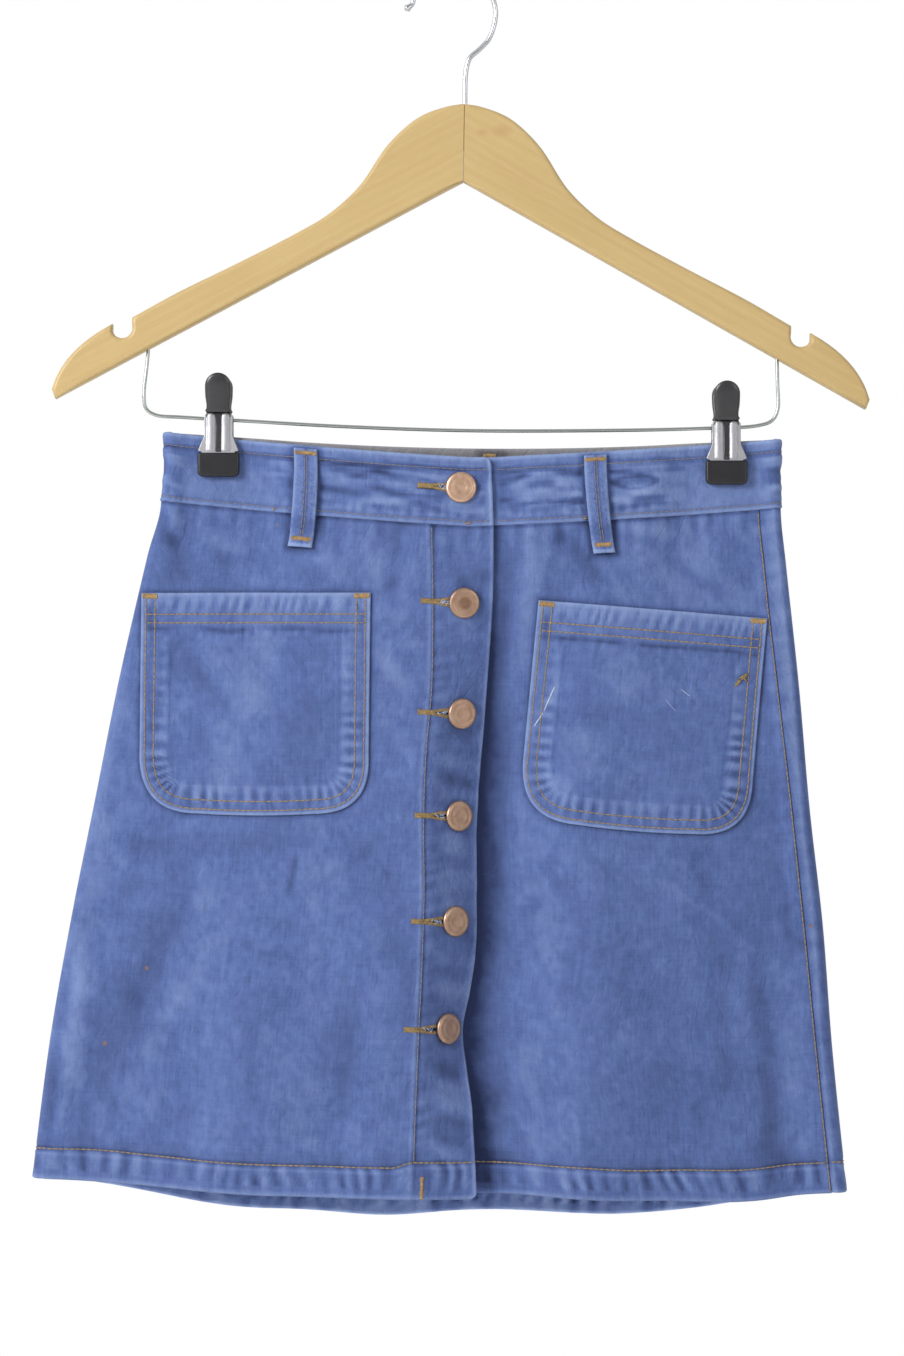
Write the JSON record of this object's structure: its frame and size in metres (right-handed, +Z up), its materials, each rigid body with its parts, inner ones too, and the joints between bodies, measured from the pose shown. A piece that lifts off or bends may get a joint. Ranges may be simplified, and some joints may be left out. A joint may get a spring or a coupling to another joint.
{
  "type": "denim skirt on a clip hanger",
  "caption": "Short A-line denim skirt with a buttoned front, patch pockets and belt loops, held by its waistband in the clips of a wooden hanger.",
  "frame": {"origin": "the inner top of the hanger's hook, where a rail holds it", "axes": "+Z up, -Y out of the buttoned front, +X to the right as seen from the front"},
  "size_m": [0.4603, 0.0721, 0.6888],
  "materials": {
    "denim": "washed mid-blue twill",
    "copper": "satin copper-coloured tack buttons",
    "wood": "satin clear lacquer on pale wood",
    "chrome": "bright plated steel",
    "black_plastic": "glossy black",
    "black_rubber": "matt black"
  },
  "bodies": {
    "root": {"skirt_front_left": "denim", "skirt_front_right": "denim", "skirt_back": "denim", "waistband": "denim", "pocket_left": "denim", "pocket_right": "denim", "belt_loop_left": "denim", "belt_loop_right": "denim", "belt_loop_back": "denim", "button_1": "copper", "button_2": "copper", "button_3": "copper", "button_4": "copper", "button_5": "copper", "button_6": "copper", "hanger_arm_left": "wood", "hanger_arm_right": "wood", "hanger_hook": "chrome", "trouser_bar": "chrome", "clip_left_leg_front": "chrome", "clip_left_grip_front": "black_plastic", "clip_left_pad_front": "black_rubber", "clip_left_leg_back": "chrome", "clip_left_grip_back": "black_plastic", "clip_left_pad_back": "black_rubber", "clip_left_spring": "chrome", "clip_right_leg_front": "chrome", "clip_right_grip_front": "black_plastic", "clip_right_pad_front": "black_rubber", "clip_right_leg_back": "chrome", "clip_right_grip_back": "black_plastic", "clip_right_pad_back": "black_rubber", "clip_right_spring": "chrome"}
  },
  "joints": []
}
